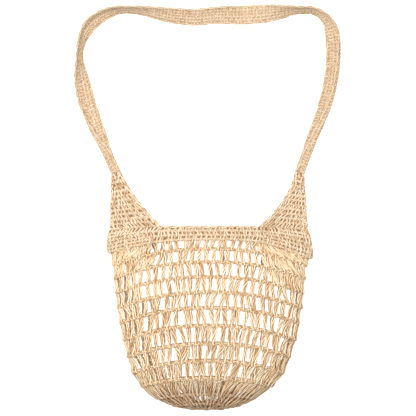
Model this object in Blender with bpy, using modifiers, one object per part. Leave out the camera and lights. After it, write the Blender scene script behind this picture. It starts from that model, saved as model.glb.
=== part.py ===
"""Crochet crossbody bag, lying on its back on a flat surface, with its strap laid out in a loop above the mouth.

Three pieces of crochet in straw yarn: an openwork net pouch worked in the round from the middle of its base,
a dense band round the mouth that runs up into a folded flare at each side, and a plain strap between the
flares. X runs across the bag, Y from the base towards the strap, and Z up from the surface that it lies on.
"""

import math
from collections import namedtuple

import bmesh
import bpy
import numpy as np

MM = 0.001

# Driving dimensions, in millimetres.
FABRIC = 3.0  # thickness of the crochet
PIECE_GAP = 0.9  # between two pieces that meet edge to edge
STRAP_WIDTH = 28.0
BEND_RADIUS = 2.0  # of a fold, at the middle of the fabric

# The net: one gap here stands for two stitches.
NET_ROWS = 10  # rows with gaps, above the base
GAPS_IN_A_ROUND = 30
OPEN_SHARE = 0.5  # of a gap and the post beside it
FIRST_OPEN_SHARE = 0.4  # the same, next to the base
RIDGE = 0.13  # half the height of the ridge between two rows, as a share of a row
BASE_ROUNDS = 3

# The pouch and the band, round by round, at the middle of the fabric. "at" is 0 at the middle of the base,
# 11 at the top of the net and 12 at the mouth. "y" is on the centre line, and a round droops towards its sides.
# "shift" is how far to the right it lies, and half_width is to the outside of the fabric. top and bottom are
# heights on the centre line, side is the height of the side edge, and flange says how much the sides are
# pressed flat into a fold.
Round = namedtuple("Round", "at y droop shift half_width top side bottom flange")
ROUNDS = [
    Round(0.00, -266.0, 0.0, -2.0, 0.0, 29.0, 29.0, 29.0, 0.0),
    Round(0.33, -263.8, 1.0, -2.5, 26.0, 39.0, 29.0, 20.0, 0.0),
    Round(0.66, -256.5, 3.0, -3.0, 50.5, 48.0, 28.5, 12.0, 0.0),
    Round(1.00, -243.3, 5.8, -3.5, 73.0, 56.0, 28.0, 6.0, 0.0),
    Round(2.00, -219.7, 11.6, -2.5, 95.5, 67.0, 26.5, 1.9, 0.0),
    Round(3.00, -195.0, 17.4, -0.5, 110.0, 71.5, 25.5, 1.5, 0.0),
    Round(4.00, -170.0, 18.9, 0.8, 118.5, 72.0, 24.5, 1.5, 0.0),
    Round(5.00, -144.0, 20.3, 1.5, 125.6, 70.0, 23.5, 1.5, 0.0),
    Round(6.00, -118.2, 21.8, 1.8, 130.8, 66.5, 22.0, 1.5, 0.0),
    Round(7.00, -95.7, 22.0, 1.8, 134.2, 61.5, 20.0, 1.5, 0.0),
    Round(8.00, -73.2, 23.2, 1.5, 136.8, 56.0, 18.0, 1.5, 0.05),
    Round(9.00, -51.5, 24.0, 1.5, 139.2, 50.0, 15.0, 1.5, 0.2),
    Round(10.0, -32.6, 24.0, 2.1, 141.2, 44.0, 12.0, 1.5, 0.45),
    Round(11.0, -20.0, 20.3, 2.2, 147.6, 39.0, 9.0, 1.5, 0.7),
    Round(11.35, -13.2, 15.5, 1.8, 149.4, 37.0, 7.8, 1.5, 0.8),
    Round(11.7, -6.0, 10.0, 0.6, 147.6, 35.5, 6.6, 1.5, 0.9),
    Round(12.0, 0.0, 5.0, 0.2, 144.0, 34.0, 5.5, 1.5, 1.0),
]
NET_TOP = 11.0
MOUTH = 12.0
BAND_TOP_ROW = 20.0  # height of the band's one round in that table
DROOP_POWER = 2.2  # of the net's rounds
MOUTH_DROOP_POWER = 4.0

# The loaf-like section: how full its sides, its crown and its back are.
SIDE_FULLNESS = 0.86
CROWN_FULLNESS = 0.94
BACK_FULLNESS = 0.9
BACK_FLATNESS = 1.25
# The pressed section: the share of each half that stays flat beside the fold.
FLAT_SHARE = 0.16

# The flares, in the same frame. The mouth's corners are these shares of the way round from the side edges.
LEFT_CORNER_SHARE = 0.132
RIGHT_CORNER_SHARE = 0.124
FLARE_COLUMNS = 7  # from the side edge to the mouth's corner
FLARE_CROWDING = 1.5  # the columns stand closer together towards the fold
BAND_COLUMNS = 5  # from there to the centre line
FLARE_ROWS = 10
LEFT_FLARE_HOLLOW = 6.0  # how far the flare's inner edge bows towards its outer edge
RIGHT_FLARE_HOLLOW = 10.0
FLARE_SETTLING = 1.6  # how fast its height falls from the mouth towards the strap

# The strap, from the left flare's tip to the right one's. fold is the width of its outer edge that is folded
# over, turn the angle of that fold, and roll how far the strap stands up on its inner edge, both in degrees.
Lay = namedtuple("Lay", "x y fold turn roll")
STRAP_LAY = [
    Lay(-134.6, 79.0, 13.5, 180, 0),
    Lay(-145.2, 103.0, 13.5, 180, 0),
    Lay(-154.8, 126.0, 9.0, 180, 0),
    Lay(-165.0, 150.0, 5.5, 165, 0),
    Lay(-174.0, 174.0, 4.5, 110, 2),
    Lay(-180.6, 198.0, 4.5, 60, 16),
    Lay(-185.4, 223.0, 6.0, 35, 42),
    Lay(-187.2, 248.0, 9.0, 22, 64),
    Lay(-183.6, 269.0, 12.0, 26, 53),
    Lay(-171.0, 292.5, 13.5, 34, 28),
    Lay(-147.3, 308.8, 13.0, 28, 42),
    Lay(-124.0, 314.4, 12.0, 20, 60),
    Lay(-101.0, 313.6, 9.0, 14, 61),
    Lay(-79.0, 310.2, 8.0, 12, 50),
    Lay(-55.0, 306.4, 6.0, 14, 36),
    Lay(-21.0, 303.6, 5.0, 20, 27),
    Lay(14.0, 306.6, 5.0, 18, 23),
    Lay(52.0, 307.2, 5.0, 8, 3),
    Lay(84.0, 309.2, 6.0, 10, 17),
    Lay(107.0, 311.4, 8.0, 14, 42),
    Lay(127.0, 313.8, 9.0, 16, 60),
    Lay(147.0, 313.8, 9.0, 16, 64),
    Lay(161.8, 308.4, 9.0, 22, 60),
    Lay(172.4, 298.4, 8.0, 32, 50),
    Lay(178.8, 281.0, 7.0, 62, 24),
    Lay(181.0, 254.0, 7.0, 140, 2),
    Lay(178.6, 220.0, 7.0, 180, 0),
    Lay(170.8, 184.0, 7.5, 180, 0),
    Lay(162.2, 158.0, 9.5, 180, 0),
    Lay(151.6, 132.0, 11.5, 180, 0),
    Lay(142.0, 106.0, 13.0, 180, 0),
    Lay(132.4, 79.0, 13.5, 180, 0),
]
STRAP_STEP = 11.0  # between two sections of the strap
OPEN_FOLD_ARC = 4.0  # least width of cloth that a fold takes up

STRAW = (0.80, 0.62, 0.40)
STRAW_ROUGHNESS = 0.75
SHARP_ANGLE = 50.0  # an edge that turns by more than this many degrees is drawn sharp


def clear_scene():
    for obj in list(bpy.data.objects):
        bpy.data.objects.remove(obj)


def smooth_curve(places, values, at):
    """A cubic curve through the values that doesn't overshoot them where they turn."""
    steps = np.diff(places)
    rises = np.diff(values) / steps
    slopes = np.empty(len(places))
    slopes[1:-1] = (rises[:-1] * steps[1:] + rises[1:] * steps[:-1]) / (steps[1:] + steps[:-1])
    slopes[1:-1][rises[:-1] * rises[1:] <= 0] = 0
    slopes[0] = rises[0]
    slopes[-1] = rises[-1]
    at = np.clip(np.asarray(at, float), places[0], places[-1])
    i = np.clip(np.searchsorted(places, at, side="right") - 1, 0, len(steps) - 1)
    t = (at - places[i]) / steps[i]
    return (
        values[i] * (1 + 2 * t) * (1 - t) ** 2
        + slopes[i] * steps[i] * t * (1 - t) ** 2
        + values[i + 1] * t * t * (3 - 2 * t)
        - slopes[i + 1] * steps[i] * t * t * (1 - t)
    )


def column_of(table, name):
    return np.array([getattr(row, name) for row in table], float)


def spaced(points, shares, measure):
    """Points of a polyline where these shares of the length of another one, with as many points, are passed."""
    lengths = np.concatenate([[0], np.cumsum(np.linalg.norm(np.diff(measure, axis=0), axis=1))])
    at = np.asarray(shares) * lengths[-1]
    return np.stack([np.interp(at, lengths, points[:, k]) for k in range(points.shape[1])], axis=1)


def loaf(half_width, top, side, bottom, front):
    """Half of a section that is crowned in front and flat at the back, from its right side to its left."""
    angle = np.linspace(0, math.pi, 121)
    across = half_width * np.sign(np.cos(angle)) * np.abs(np.cos(angle)) ** SIDE_FULLNESS
    rise = np.sin(angle).clip(0)
    if front:
        height = side + (top - side) * rise**CROWN_FULLNESS
    else:
        height = side - (side - bottom) * np.minimum(1, BACK_FLATNESS * rise**BACK_FULLNESS)
    return np.stack([across, height], axis=1)


def pressed(half_width, top, side, bottom, front):
    """Half of a section whose sides are pressed into a fold and whose middle gapes, from right to left."""
    radius = side - bottom
    up = 1 if front else -1
    bend = np.linspace(0, math.pi / 2, 16)
    rounded = np.stack(
        [half_width - radius + radius * np.cos(bend), side + up * radius * np.sin(bend)], axis=1
    )
    inward = np.linspace(0, 1, 60)[1:]
    gape = (1 - np.cos(math.pi * np.clip((inward - FLAT_SHARE) / (1 - FLAT_SHARE), 0, 1))) / 2
    height = side + up * radius + (gape * (top - side - radius) if front else 0)
    level = np.stack([(half_width - radius) * (1 - inward), height + 0 * inward], axis=1)
    right = np.concatenate([rounded, level])
    return np.concatenate([right, right[-2::-1] * [-1, 1]])


def wall(at, shares):
    """Points of the pouch's and band's wall in one round. A share is 0 at the right side edge, 0.25 at the
    front's middle, 0.5 at the left side edge and 0.75 at the back's middle. It is measured along the front, and
    the back's points lie straight below the front's."""
    shares = np.asarray(shares, float) % 1
    row = Round(at, *(float(smooth_curve(column_of(ROUNDS, "at"), column_of(ROUNDS, name), at))
                      for name in Round._fields[1:]))
    half_width = max(0, row.half_width - FABRIC / 2)
    found = np.empty((len(shares), 2))
    for front in (True, False):
        here = (shares <= 0.5) == front
        along = shares[here] * 2 if front else (1 - shares[here]) * 2
        size = (half_width, row.top, row.side, row.bottom)
        found[here] = spaced(loaf(*size, front), along, loaf(*size, True)) * (1 - row.flange)
        if row.flange:
            found[here] += spaced(pressed(*size, front), along, pressed(*size, True)) * row.flange
    beside = np.abs(found[:, 0]) / max(half_width, FABRIC)
    power = DROOP_POWER + (MOUTH_DROOP_POWER - DROOP_POWER) * max(0, at - NET_TOP)
    return np.stack([found[:, 0] + row.shift, row.y - row.droop * beside**power, found[:, 1]], axis=1)


def uneven(row, column, size):
    """A small offset that looks irregular and is the same each time."""
    return size * math.sin(12.99 * row + 78.23 * column + 4.1 * math.sin(5.3 * column + 1.7 * row))


def gap_edges(row, at_top):
    """Shares of the way round of both edges of each gap in a row, in turn. Each post leans a little. The back's
    gaps lie behind the front's."""
    open_share = OPEN_SHARE if row > 1 else FIRST_OPEN_SHARE
    lean = 0.06 if at_top else -0.06
    front = []
    for column in range(GAPS_IN_A_ROUND // 2):
        middle = column + 0.5 + uneven(row, column, 0.09) + uneven(row, column + 40, lean)
        half = open_share / 2 + uneven(row, column + 80, 0.06)
        front += [(middle - half) / GAPS_IN_A_ROUND, (middle + half) / GAPS_IN_A_ROUND]
    return front + [1 - share for share in front[::-1]]


def new_object(name):
    mesh = bpy.data.meshes.new(name)
    material = bpy.data.materials.new(name + "_yarn")
    material.use_nodes = True
    shader = material.node_tree.nodes["Principled BSDF"]
    shader.inputs["Base Color"].default_value = (*STRAW, 1)
    shader.inputs["Roughness"].default_value = STRAW_ROUGHNESS
    shader.inputs["Metallic"].default_value = 0
    mesh.materials.append(material)
    return bpy.data.objects.new(name, mesh)


def finish_cloth(obj, bm):
    """Fills the object with this open surface, and gives it the fabric's thickness, half of it on each side."""
    bmesh.ops.recalc_face_normals(bm, faces=bm.faces)
    bm.to_mesh(obj.data)
    bm.free()
    obj.data.shade_smooth()
    obj.data.set_sharp_from_angle(angle=math.radians(SHARP_ANGLE))
    modifier = obj.modifiers.new("fabric", "SOLIDIFY")
    modifier.thickness = FABRIC * MM
    modifier.offset = 0
    modifier.use_even_offset = True
    return obj


def add_ring(bm, points):
    return [bm.verts.new(point * MM) for point in points]


def join_rings(bm, lower, upper, closed=True, skip=()):
    """Faces between two rows of vertices, leaving out the columns in skip."""
    for i in range(len(lower) if closed else len(lower) - 1):
        if i not in skip:
            j = (i + 1) % len(lower)
            bm.faces.new((lower[i], lower[j], upper[j], upper[i]))


def net_pouch():
    """The base and the openwork wall, in one piece. Each row's gaps lie between two ridges."""
    bm = bmesh.new()
    pole = bm.verts.new(wall(0, [0])[0] * MM)
    shares = gap_edges(1, at_top=False)
    places = [k / BASE_ROUNDS for k in range(1, BASE_ROUNDS)] + [1 - RIDGE]
    rings = [add_ring(bm, wall(at, shares)) for at in places]
    for i in range(len(shares)):
        bm.faces.new((pole, rings[0][i], rings[0][(i + 1) % len(shares)]))
    for lower, upper in zip(rings, rings[1:]):
        join_rings(bm, lower, upper)
    below = rings[-1]
    gaps = range(0, 2 * GAPS_IN_A_ROUND, 2)
    for row in range(1, NET_ROWS + 1):
        foot = add_ring(bm, wall(row + RIDGE, gap_edges(row, at_top=False)))
        head = add_ring(bm, wall(row + 1 - RIDGE, gap_edges(row, at_top=True)))
        join_rings(bm, below, foot)
        join_rings(bm, foot, head, skip=gaps)
        below = head
    edge = NET_TOP - PIECE_GAP / 2 / BAND_TOP_ROW
    join_rings(bm, below, add_ring(bm, wall(edge, gap_edges(NET_ROWS, at_top=True))))
    return finish_cloth(new_object("net_pouch"), bm)


def fold_arc(turn):
    """How much of the strap's width its fold takes up."""
    return max(OPEN_FOLD_ARC, BEND_RADIUS * math.radians(turn))


def strap_section(fold, turn, roll, places):
    """How far outward and how high each place across the strap lies. Places count from its inner edge. Its
    lowest point rests on the surface, and the middle of its plan view is at 0."""
    fine = np.linspace(0, STRAP_WIDTH, 281)
    bent = np.clip((fine - (STRAP_WIDTH - fold)) / fold_arc(turn) + 0.5, 0, 1)
    slope = math.radians(roll) + math.radians(turn) * bent
    middle = (slope[1:] + slope[:-1]) / 2
    out = np.concatenate([[0], np.cumsum(np.cos(middle) * fine[1])])
    up = np.concatenate([[0], np.cumsum(np.sin(middle) * fine[1])])
    up += np.max(FABRIC / 2 * np.abs(np.cos(slope)) - up)
    out -= (out.max() + out.min()) / 2
    return np.stack([np.interp(places, fine, out), np.interp(places, fine, up)], axis=1)


def places_across(fold, turn):
    """Where the strap's section has its points: closest together round the fold."""
    crease = STRAP_WIDTH - fold
    start = crease - fold_arc(turn) / 2
    end = min(crease + fold_arc(turn) / 2, STRAP_WIDTH - 0.6)
    in_fold = [start + (end - start) * k / 4 for k in range(5)]
    return [0, start / 2] + in_fold + [(end + STRAP_WIDTH) / 2, STRAP_WIDTH]


def strap_route():
    """The strap's stations: their places, the directions ahead and outward, and their rows of the table."""
    knots = np.stack([column_of(STRAP_LAY, "x"), column_of(STRAP_LAY, "y")], axis=1)
    length = np.concatenate([[0], np.cumsum(np.linalg.norm(np.diff(knots, axis=0), axis=1))])
    at = np.linspace(0, length[-1], round(length[-1] / STRAP_STEP) + 1)
    columns = [smooth_curve(length, column_of(STRAP_LAY, name), at) for name in Lay._fields]
    rows = [Lay(*values) for values in zip(*columns)]
    place = np.stack([columns[0], columns[1]], axis=1)
    ahead = np.gradient(place, axis=0)
    ahead /= np.linalg.norm(ahead, axis=1)[:, None]
    outward = np.stack([-ahead[:, 1], ahead[:, 0]], axis=1)
    return place, ahead, outward, rows


def strap():
    """The strap between the flares, folded in half at its ends and laid open along its top run."""
    bm = bmesh.new()
    place, _, outward, rows = strap_route()
    below = None
    for centre, out, row in zip(place, outward, rows):
        section = strap_section(row.fold, row.turn, row.roll, places_across(row.fold, row.turn))
        ring = add_ring(bm, np.column_stack([centre + section[:, :1] * out, section[:, 1]]))
        if below:
            join_rings(bm, below, ring, closed=False)
        below = ring
    return finish_cloth(new_object("strap"), bm)


def quarter_shares(corner):
    """Columns from a side edge to the front's middle, with the mouth's corner at this share."""
    flare = [corner * (k / FLARE_COLUMNS) ** FLARE_CROWDING for k in range(FLARE_COLUMNS + 1)]
    return flare + [corner + (0.25 - corner) * k / BAND_COLUMNS for k in range(1, BAND_COLUMNS + 1)]


def band_shares():
    """Columns of the band, as shares of the way round: closest together at the side edges."""
    front = quarter_shares(RIGHT_CORNER_SHARE) + [0.5 - k for k in quarter_shares(LEFT_CORNER_SHARE)[-2::-1]]
    return front + [1 - share for share in front[-2:0:-1]]


def flare_tip(side):
    """The flare's last row, beside the strap's end, from the back layer's inner edge to the front layer's."""
    place, ahead, outward, rows = strap_route()
    end = 0 if side < 0 else -1
    crowded = (np.arange(FLARE_COLUMNS + 1) / FLARE_COLUMNS) ** FLARE_CROWDING
    places = STRAP_WIDTH / 2 * (1 + np.concatenate([-crowded[:0:-1], crowded]))
    section = strap_section(rows[end].fold, rows[end].turn, rows[end].roll, places)
    beside = place[end] + side * ahead[end] * PIECE_GAP
    return np.column_stack([beside + section[:, :1] * outward[end], section[:, 1]])


def add_flare(bm, side, mouth, points):
    """Runs the mouth's columns beside one side edge, from the mouth's vertices up to the strap's end."""
    fold = 0 if side > 0 else len(points) // 2
    order = [(fold + side * k) % len(points) for k in range(-FLARE_COLUMNS, FLARE_COLUMNS + 1)]
    foot = points[order]
    rise = flare_tip(side) - foot
    hollow = side * (LEFT_FLARE_HOLLOW if side < 0 else RIGHT_FLARE_HOLLOW)
    towards_edge = np.abs(np.linspace(-1, 1, len(order))) ** FLARE_CROWDING
    below = [mouth[k] for k in order]
    for row in range(1, FLARE_ROWS + 1):
        up = row / FLARE_ROWS
        here = foot + rise * [up, up, 1 - (1 - up) ** FLARE_SETTLING]
        here[:, 0] += 4 * up * (1 - up) * hollow * towards_edge
        ring = add_ring(bm, here)
        join_rings(bm, below, ring, closed=False)
        below = ring


def band_and_flares():
    """The dense band round the mouth and, at each side, the flare that runs up from it, folded in two along
    its outer edge."""
    bm = bmesh.new()
    shares = band_shares()
    below = None
    for at in (NET_TOP + PIECE_GAP / 2 / BAND_TOP_ROW, 11.2, 11.45, 11.72, MOUTH):
        points = wall(at, shares)
        ring = add_ring(bm, points)
        if below:
            join_rings(bm, below, ring)
        below = ring
    for side in (-1, 1):
        add_flare(bm, side, below, points)
    return finish_cloth(new_object("band_and_flares"), bm)


def stand_on_origin(objects):
    """Moves the pieces together, so that the origin is under the middle of their box, on the surface."""
    bpy.context.view_layer.update()
    graph = bpy.context.evaluated_depsgraph_get()
    corners = []
    for obj in objects:
        evaluated = obj.evaluated_get(graph)
        corners += [np.array(vertex.co) for vertex in evaluated.to_mesh().vertices]
        evaluated.to_mesh_clear()
    low = np.min(corners, axis=0)
    high = np.max(corners, axis=0)
    for obj in objects:
        obj.location = (-(low[0] + high[0]) / 2, -(low[1] + high[1]) / 2, -low[2])


def main():
    clear_scene()
    collection = bpy.data.collections.new("crochet_crossbody_bag")
    bpy.context.scene.collection.children.link(collection)
    pieces = [net_pouch(), band_and_flares(), strap()]
    for piece in pieces:
        collection.objects.link(piece)
    stand_on_origin(pieces)


main()
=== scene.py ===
"""Looks of the crochet crossbody bag: straw yarn, stitch by stitch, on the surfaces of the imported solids.

Lengths are in millimetres in the part's own frame, which ORIGIN_SHIFT turns into the row's frame, and meshes are
in metres. The tables and surface functions are those of the solids, but for the yarn's own inset, the net's waist
and the band's sag.
"""

import math
from collections import namedtuple

import bpy
import numpy as np
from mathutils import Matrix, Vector


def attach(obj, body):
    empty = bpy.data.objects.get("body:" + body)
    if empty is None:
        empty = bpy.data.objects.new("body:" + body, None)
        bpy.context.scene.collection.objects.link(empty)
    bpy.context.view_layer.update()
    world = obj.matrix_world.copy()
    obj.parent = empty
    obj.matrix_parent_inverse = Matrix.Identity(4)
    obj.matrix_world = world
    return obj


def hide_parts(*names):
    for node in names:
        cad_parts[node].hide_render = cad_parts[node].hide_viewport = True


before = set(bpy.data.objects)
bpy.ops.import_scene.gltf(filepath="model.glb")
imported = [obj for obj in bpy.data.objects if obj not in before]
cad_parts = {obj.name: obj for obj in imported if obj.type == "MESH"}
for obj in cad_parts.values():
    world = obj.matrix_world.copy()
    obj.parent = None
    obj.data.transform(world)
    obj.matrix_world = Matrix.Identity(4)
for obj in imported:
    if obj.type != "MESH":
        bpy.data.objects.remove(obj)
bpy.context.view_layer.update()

MM = 0.001
ORIGIN_SHIFT = np.array([1.4556, -27.8123, 0.067])  # from the part's frame to the row's

# ---------------- the solids' surfaces

FABRIC = 3.0  # thickness of the crochet
PIECE_GAP = 0.9  # between two solids that meet edge to edge
STRAP_WIDTH = 28.0
BEND_RADIUS = 2.0  # of a fold, at the middle of the fabric

# The wall's rounds, from the base's pole up. droop is how much lower the sides hang than the middle, shift is to the
# right, and top, side and bottom are heights. flange is the share of the section that is pressed flat at its sides.
Round = namedtuple("Round", "at y droop shift half_width top side bottom flange")
ROUNDS = [Round(*row) for row in (
    (0.00, -266.0, 0.0, -2.0, 0.0, 29.0, 29.0, 29.0, 0.0),
    (0.33, -263.8, 1.0, -2.5, 26.0, 39.0, 29.0, 20.0, 0.0),
    (0.66, -256.5, 3.0, -3.0, 50.5, 48.0, 28.5, 12.0, 0.0),
    (1.00, -243.3, 5.8, -3.5, 73.0, 56.0, 28.0, 6.0, 0.0),
    (2.00, -219.7, 11.6, -2.5, 95.5, 67.0, 26.5, 1.9, 0.0),
    (3.00, -195.0, 17.4, -0.5, 110.0, 71.5, 25.5, 1.5, 0.0),
    (4.00, -170.0, 18.9, 0.8, 118.5, 72.0, 24.5, 1.5, 0.0),
    (5.00, -144.0, 20.3, 1.5, 125.6, 70.0, 23.5, 1.5, 0.0),
    (6.00, -118.2, 21.8, 1.8, 130.8, 66.5, 22.0, 1.5, 0.0),
    (7.00, -95.7, 22.0, 1.8, 134.2, 61.5, 20.0, 1.5, 0.0),
    (8.00, -73.2, 23.2, 1.5, 136.8, 56.0, 18.0, 1.5, 0.05),
    (9.00, -51.5, 24.0, 1.5, 139.2, 50.0, 15.0, 1.5, 0.2),
    (10.0, -32.6, 24.0, 2.1, 141.2, 44.0, 12.0, 1.5, 0.45),
    (11.0, -20.0, 20.3, 2.2, 147.6, 39.0, 9.0, 1.5, 0.7),
    (11.35, -13.2, 15.5, 1.8, 149.4, 37.0, 7.8, 1.5, 0.8),
    (11.7, -6.0, 10.0, 0.6, 147.6, 35.5, 6.6, 1.5, 0.9),
    (12.0, 0.0, 5.0, 0.2, 144.0, 34.0, 5.5, 1.5, 1.0),
)]
NET_TOP = 11.0
MOUTH = 12.0
DROOP_POWER = 2.2  # of the net's rounds
MOUTH_DROOP_POWER = 4.0
SIDE_FULLNESS = 0.86
CROWN_FULLNESS = 0.94
BACK_FULLNESS = 0.9
BACK_FLATNESS = 1.25
FLAT_SHARE = 0.16  # of a pressed section's half width
LEFT_CORNER_SHARE = 0.132  # of the way round, from the side edge to the mouth's corner
RIGHT_CORNER_SHARE = 0.124
LEFT_FLARE_HOLLOW = 6.0  # how far the flare's inner edge bows towards its outer edge
RIGHT_FLARE_HOLLOW = 10.0
FLARE_SETTLING = 1.6  # how fast its height falls from the mouth towards the strap
BASE_INSET = 1.9  # how much further in than the solid's middle the base's yarn lies
SCALLOP = 1.1  # the same, halfway between two of the net's row lines
LOW_SCALLOP = 0.6  # the share that is added to that towards the base
LOW_SCALLOP_ROWS = (5, 2)
BASE_INSET_ROWS = (1.7, 0.7)
BAND_SWELL = 0.8  # how much further out the band's yarn lies
WAIST = 4.0  # how far the net's sides are drawn in under the band
WAIST_HALF_WIDTH = 146
WAIST_ROWS = (10.1, 10.9)  # where that starts, and where it is full
RIGHT_SAG = 8.0  # how much further down the band's lower right corner hangs
SAG_ROWS = (9.9, 10.9)  # where that starts, and where it is full
SAG_TOP_ROWS = (11.95, 11.05)  # the same, from the mouth down
SAG_START = 0.45  # of the half width, where the sag starts

# The strap's lay, from the left flare to the right. fold is the width of the outer part that is turned over, turn
# is how far, in degrees, and roll is how steeply the inner part stands.
Lay = namedtuple("Lay", "x y fold turn roll")
STRAP_LAY = [Lay(*row) for row in (
    (-134.6, 79.0, 13.5, 180, 0),
    (-145.2, 103.0, 13.5, 180, 0),
    (-154.8, 126.0, 9.0, 180, 0),
    (-165.0, 150.0, 5.5, 165, 0),
    (-174.0, 174.0, 4.5, 110, 2),
    (-180.6, 198.0, 4.5, 60, 16),
    (-185.4, 223.0, 6.0, 35, 42),
    (-187.2, 248.0, 9.0, 22, 64),
    (-183.6, 269.0, 12.0, 26, 53),
    (-171.0, 292.5, 13.5, 34, 28),
    (-147.3, 308.8, 13.0, 28, 42),
    (-124.0, 314.4, 12.0, 20, 60),
    (-101.0, 313.6, 9.0, 14, 61),
    (-79.0, 310.2, 8.0, 12, 50),
    (-55.0, 306.4, 6.0, 14, 36),
    (-21.0, 303.6, 5.0, 20, 27),
    (14.0, 306.6, 5.0, 18, 23),
    (52.0, 307.2, 5.0, 8, 3),
    (84.0, 309.2, 6.0, 10, 17),
    (107.0, 311.4, 8.0, 14, 42),
    (127.0, 313.8, 9.0, 16, 60),
    (147.0, 313.8, 9.0, 16, 64),
    (161.8, 308.4, 9.0, 22, 60),
    (172.4, 298.4, 8.0, 32, 50),
    (178.8, 281.0, 7.0, 62, 24),
    (181.0, 254.0, 7.0, 140, 2),
    (178.6, 220.0, 7.0, 180, 0),
    (170.8, 184.0, 7.5, 180, 0),
    (162.2, 158.0, 9.5, 180, 0),
    (151.6, 132.0, 11.5, 180, 0),
    (142.0, 106.0, 13.0, 180, 0),
    (132.4, 79.0, 13.5, 180, 0),
)]
OPEN_FOLD_ARC = 4.0  # least width of cloth that a fold takes up
HEADING_STEP = 4.0  # either way along the strap, for its direction


def smooth_curve(places, values, at):
    """A cubic curve through the values that doesn't overshoot them where they turn."""
    steps = np.diff(places)
    rises = np.diff(values) / steps
    slopes = np.empty(len(places))
    slopes[1:-1] = (rises[:-1] * steps[1:] + rises[1:] * steps[:-1]) / (steps[1:] + steps[:-1])
    slopes[1:-1][rises[:-1] * rises[1:] <= 0] = 0
    slopes[0] = rises[0]
    slopes[-1] = rises[-1]
    at = np.clip(np.asarray(at, float), places[0], places[-1])
    i = np.clip(np.searchsorted(places, at, side="right") - 1, 0, len(steps) - 1)
    t = (at - places[i]) / steps[i]
    return (
        values[i] * (1 + 2 * t) * (1 - t) ** 2
        + slopes[i] * steps[i] * t * (1 - t) ** 2
        + values[i + 1] * t * t * (3 - 2 * t)
        - slopes[i + 1] * steps[i] * t * t * (1 - t)
    )


def column_of(table, name):
    return np.array([getattr(row, name) for row in table], float)


ROUND_COLUMNS = {name: column_of(ROUNDS, name) for name in Round._fields}


def arc_lengths(points):
    return np.concatenate([[0], np.cumsum(np.linalg.norm(np.diff(points, axis=0), axis=1))])


def spaced(points, shares, measure):
    """Points of a polyline where these shares of the length of another one, with as many points, are passed."""
    lengths = arc_lengths(measure)
    at = np.asarray(shares) * lengths[-1]
    return np.stack([np.interp(at, lengths, points[:, k]) for k in range(points.shape[1])], axis=1)


def loaf(half_width, top, side, bottom, front):
    """The front or back half of a full section, from its right side edge to its left."""
    angle = np.linspace(0, math.pi, 121)
    across = half_width * np.sign(np.cos(angle)) * np.abs(np.cos(angle)) ** SIDE_FULLNESS
    rise = np.sin(angle).clip(0)
    if front:
        height = side + (top - side) * rise**CROWN_FULLNESS
    else:
        height = side - (side - bottom) * np.minimum(1, BACK_FLATNESS * rise**BACK_FULLNESS)
    return np.stack([across, height], axis=1)


def pressed(half_width, top, side, bottom, front):
    """The same, where the sides are pressed together and only the middle gapes."""
    radius = side - bottom
    up = 1 if front else -1
    bend = np.linspace(0, math.pi / 2, 16)
    rounded = np.stack(
        [half_width - radius + radius * np.cos(bend), side + up * radius * np.sin(bend)], axis=1
    )
    inward = np.linspace(0, 1, 60)[1:]
    gape = (1 - np.cos(math.pi * np.clip((inward - FLAT_SHARE) / (1 - FLAT_SHARE), 0, 1))) / 2
    height = side + up * radius + (gape * (top - side - radius) if front else 0)
    level = np.stack([(half_width - radius) * (1 - inward), height + 0 * inward], axis=1)
    right = np.concatenate([rounded, level])
    return np.concatenate([right, right[-2::-1] * [-1, 1]])


def smoothstep(low, high, at):
    t = np.clip((np.asarray(at, float) - low) / (high - low), 0, 1)
    return t * t * (3 - 2 * t)


def inset(at):
    """How much further in the yarn lies than the solid's middle: at the base and between the net's row lines. The
    band lies a little further out."""
    drawn_in = SCALLOP * math.sin(math.pi * at) ** 2 if 1 < at < NET_TOP - 1 else 0
    drawn_in *= 1 + LOW_SCALLOP * float(smoothstep(*LOW_SCALLOP_ROWS, at))
    swell = BAND_SWELL * float(smoothstep(NET_TOP, NET_TOP + 0.12, at))
    return BASE_INSET * float(smoothstep(*BASE_INSET_ROWS, at)) + drawn_in - swell


def sag(at):
    """How much further the band's lower edge hangs down at the right side."""
    return RIGHT_SAG * float(smoothstep(*SAG_ROWS, at) * smoothstep(*SAG_TOP_ROWS, at))


def wall(at, shares):
    """Points of the pouch's and band's wall in one round, at the middle of the fabric. A share is 0 at the right
    side edge, 0.25 at the front's middle, 0.5 at the left side edge and 0.75 at the back's middle."""
    shares = np.asarray(shares, float) % 1
    row = Round(at, *(float(smooth_curve(ROUND_COLUMNS["at"], ROUND_COLUMNS[name], at))
                      for name in Round._fields[1:]))
    inward = inset(at)
    half_width = max(0, row.half_width - FABRIC / 2 - inward)
    found = np.empty((len(shares), 2))
    for front in (True, False):
        here = (shares <= 0.5) == front
        along = shares[here] * 2 if front else (1 - shares[here]) * 2
        size = (half_width, max(row.side, row.top - inward), row.side, min(row.side, row.bottom + inward / 2))
        found[here] = spaced(loaf(*size, front), along, loaf(*size, True)) * (1 - row.flange)
        if row.flange:
            found[here] += spaced(pressed(*size, front), along, pressed(*size, True)) * row.flange
    beside = np.abs(found[:, 0]) / max(half_width, FABRIC)
    power = DROOP_POWER + (MOUTH_DROOP_POWER - DROOP_POWER) * max(0, at - NET_TOP)
    y = row.y + inward * max(0, 1 - at) - row.droop * beside**power
    y -= sag(at) * smoothstep(SAG_START, 1, found[:, 0] / max(half_width, FABRIC))
    return np.stack([found[:, 0] + row.shift, y, found[:, 1]], axis=1)


def net_wall(at, shares):
    """The net's wall, whose sides are drawn in under the band."""
    points = wall(at, shares)
    points[:, 0] *= 1 - WAIST * float(smoothstep(*WAIST_ROWS, at)) / WAIST_HALF_WIDTH
    return points


def girth_at(at, points=241):
    return arc_lengths(wall(at, np.linspace(0, 1, points)))[-1]


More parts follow.
